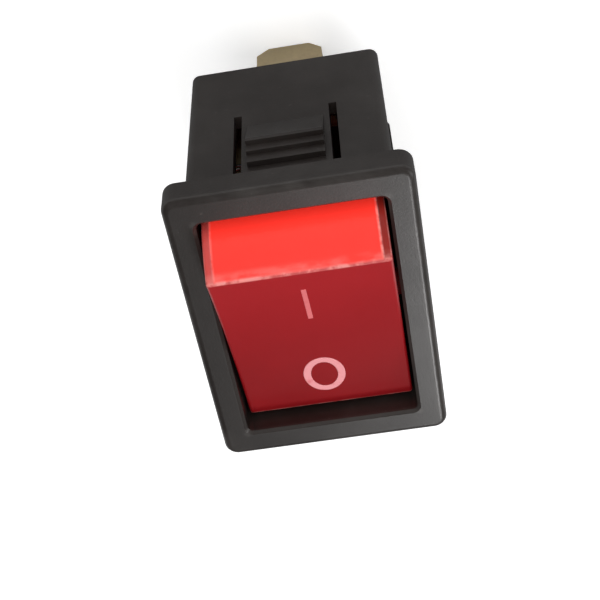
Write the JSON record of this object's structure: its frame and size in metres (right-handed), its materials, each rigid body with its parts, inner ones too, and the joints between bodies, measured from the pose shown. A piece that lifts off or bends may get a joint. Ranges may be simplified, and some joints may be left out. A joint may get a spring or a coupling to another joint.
{
  "type": "panel rocker switch",
  "caption": "Lit panel rocker switch: translucent red rocker with I and O marks in a black snap-in bezel housing, over a see-saw contact and flat push-on tabs.",
  "frame": {"origin": "centre of the panel cut-out in the plane of the bezel's underside", "axes": "+Z out of the switch face, X along the rocker's pivot, +Y towards the rocker's raised I end as stored (switched off, O end pressed in)"},
  "size_m": [0.015, 0.021, 0.0275],
  "materials": {
    "housing_black": "moulded black nylon with a fine satin grain",
    "rocker_red": "translucent red polycarbonate, polished, dished face",
    "tab_brass": "stamped brass strip, thinly nickel plated at the tabs, rolled surface",
    "contact_silver": "silver alloy rivet, lightly burnished",
    "spring_steel": "drawn spring wire, bright",
    "plunger_ivory": "turned look acetal, ivory, satin",
    "lever_copper": "stamped copper alloy strip with wiped track under the plunger",
    "lamp_glass": "thin drawn soda glass",
    "lead_nickel": "nickel plated wire, dull",
    "resistor_tan": "lacquered ceramic rod with colour bands",
    "resistor_cap": "lacquered pressed steel cap",
    "sleeve_black": "soft insulating tube"
  },
  "bodies": {
    "switch_body": {"housing": "housing_black", "load_terminal": "tab_brass", "fixed_contact": "contact_silver", "common_terminal": "tab_brass", "lamp_terminal": "tab_brass", "load_lamp_spring": "spring_steel", "neutral_lamp_spring": "spring_steel"},
    "rocker_group": {"rocker": "rocker_red", "plunger_spring": "spring_steel", "lamp_glass": "lamp_glass", "lamp_electrode_link": "lead_nickel", "lamp_electrode_neutral": "lead_nickel", "resistor_body": "resistor_tan", "resistor_cap_load": "resistor_cap", "resistor_cap_lamp": "resistor_cap", "resistor_lead": "lead_nickel", "lead_sleeve": "sleeve_black"},
    "plunger_group": {"plunger": "plunger_ivory"},
    "lever_group": {"contact_lever": "lever_copper", "moving_contact": "contact_silver"}
  },
  "joints": [
    {"name": "rocker_tilt", "type": "hinge", "parent": "switch_body", "child": "rocker_group", "pos_m": [0, 0, -0.0011], "axis": [1, 0, 0], "range_deg": [-32, 0], "deforming": ["load_lamp_spring", "neutral_lamp_spring"]},
    {"name": "lever_tilt", "type": "hinge", "parent": "switch_body", "child": "lever_group", "pos_m": [0, 0, -0.00871], "axis": [1, 0, 0], "range_deg": [0, 16]},
    {"name": "plunger_slide", "type": "slide", "parent": "rocker_group", "child": "plunger_group", "axis": [0, -0.2756, 0.9613], "range_m": [0, 0.0006], "stiffness_N_per_m": 300, "deforming": ["plunger_spring"]}
  ],
  "couplings": [
    {"joint": "lever_tilt", "follows": "rocker_tilt", "ratio": -0.5}
  ]
}
